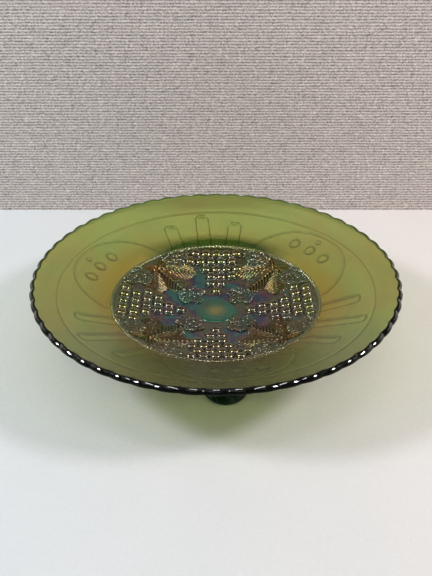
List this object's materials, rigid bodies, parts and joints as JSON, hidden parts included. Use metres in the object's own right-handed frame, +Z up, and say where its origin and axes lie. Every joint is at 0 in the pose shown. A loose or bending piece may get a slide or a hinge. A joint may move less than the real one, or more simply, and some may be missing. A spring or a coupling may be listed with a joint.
{
  "type": "footed carnival glass bowl",
  "caption": "Shallow flared pressed-glass bowl on spatula feet, with a scalloped rim, a grape and vine leaf relief inside and thumbprints outside.",
  "frame": {"origin": "on the standing plane, under the bowl's centre", "axes": "+Z up through the bowl's centre, -Y towards the front foot, +X to the right seen from the front"},
  "size_m": [0.2286, 0.2286, 0.056],
  "materials": {
    "bowl_glass": "olive green pressed glass with a satin gold and rose lustre",
    "foot_glass": "thick dark green glass, polished by the mould",
    "grape_lustre": "bronze gold iridescent lustre on round grapes",
    "leaf_lustre": "olive gold iridescent lustre on veined leaves",
    "medallion_lustre": "smooth teal lustre with a gold middle",
    "cable_lustre": "green gold lustre on a fine twisted cord",
    "outside_glass": "dark olive glass, raised work on the outside"
  },
  "bodies": {
    "root": {"bowl_floor": "bowl_glass", "flared_wall": "bowl_glass", "scalloped_rim": "bowl_glass", "foot_front": "foot_glass", "foot_back_right": "foot_glass", "foot_back_left": "foot_glass", "centre_medallion": "medallion_lustre", "leaf_sprigs": "leaf_lustre", "cable_border": "cable_lustre", "corner_leaves": "leaf_lustre", "grape_bunch_front": "grape_lustre", "grape_bunch_right": "grape_lustre", "grape_bunch_back": "grape_lustre", "grape_bunch_left": "grape_lustre", "vine_leaf_front_right": "leaf_lustre", "vine_leaf_back_right": "leaf_lustre", "vine_leaf_back_left": "leaf_lustre", "vine_leaf_front_left": "leaf_lustre", "thumbprints_back": "outside_glass", "thumbprints_front_left": "outside_glass", "thumbprints_front_right": "outside_glass", "jewels_front": "outside_glass", "jewels_back_right": "outside_glass", "jewels_back_left": "outside_glass", "arch_front": "outside_glass", "arch_back_right": "outside_glass", "arch_back_left": "outside_glass", "wall_ring": "outside_glass"}
  },
  "joints": []
}
